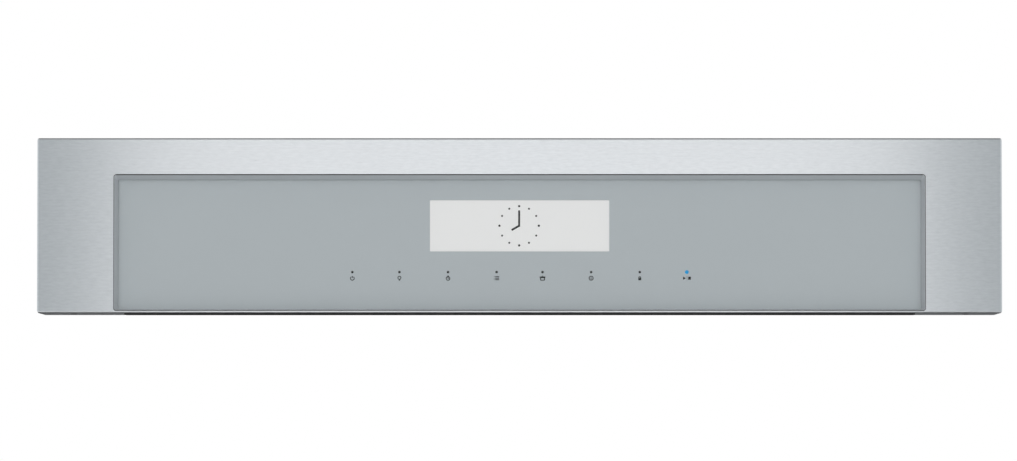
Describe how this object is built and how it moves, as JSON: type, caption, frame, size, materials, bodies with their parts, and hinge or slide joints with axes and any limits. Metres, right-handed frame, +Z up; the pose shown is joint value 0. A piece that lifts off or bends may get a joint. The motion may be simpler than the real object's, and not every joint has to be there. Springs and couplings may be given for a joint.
{
  "type": "speed oven control panel",
  "caption": "Wide stainless oven control panel with a recessed glass touch panel, a clock display and folded sheet-steel edges, for building in above an oven door.",
  "frame": {"origin": "centre of the four chassis bolt holes, on the plane of the brackets' rear faces", "axes": "+X to the viewer's right along the panel, +Y back into the oven, so the glass faces -Y, +Z up"},
  "size_m": [0.7556, 0.048, 0.1372],
  "materials": {
    "stainless": "brushed along its length",
    "zinc_steel": "bright zinc coating",
    "copper_stud": "copper flash",
    "bezel_plastic": "fine silver-grey satin",
    "panel_glass": "polished",
    "print_ink": "silver-grey print",
    "black_foam": "closed-cell foam",
    "carrier_plastic": "moulded, fine grain",
    "display_glass": "lit light grey",
    "light_plastic": "clear acrylic",
    "white_plastic": "reflective white",
    "board": "solder mask",
    "chip": "moulded epoxy",
    "black_plastic": "moulded black",
    "flex_film": "amber film",
    "ribbon": "grey ribbon",
    "coil": "lacquered winding",
    "can": "sleeved can",
    "socket_white": "natural nylon",
    "socket_blue": "blue nylon",
    "dark_screw": "black zinc",
    "brass_blade": "stamped brass"
  },
  "bodies": {
    "root": {"fascia": "stainless", "fascia_studs": "copper_stud", "stud_nuts": "zinc_steel", "glass_bezel": "bezel_plastic", "glass_panel": "panel_glass", "glass_print": "print_ink", "adhesive_tape": "black_foam", "carrier_frame": "carrier_plastic", "display_gasket": "black_foam", "display_frame": "zinc_steel", "display_cell": "display_glass", "backlight_guide": "light_plastic", "backlight_strip": "white_plastic", "display_tray": "white_plastic", "tray_screws": "dark_screw", "display_flex": "flex_film", "light_guides": "light_plastic", "touch_pads": "black_foam", "touch_board": "board", "key_lamps": "white_plastic", "touch_chip": "chip", "touch_screws": "dark_screw", "ribbon_cable": "ribbon", "control_board": "board", "processor_chips": "chip", "capacitors": "can", "regulator_coil": "coil", "buzzer": "black_plastic", "supply_connector": "socket_white", "bus_connector": "socket_blue", "board_screws": "dark_screw", "rear_cover": "zinc_steel", "cover_screws": "zinc_steel", "left_bracket": "zinc_steel", "right_bracket": "zinc_steel", "top_rail": "zinc_steel", "bottom_screws": "dark_screw", "air_guide": "black_plastic", "air_guide_screws": "dark_screw", "earth_tab": "brass_blade", "earth_screw": "zinc_steel"}
  },
  "joints": []
}
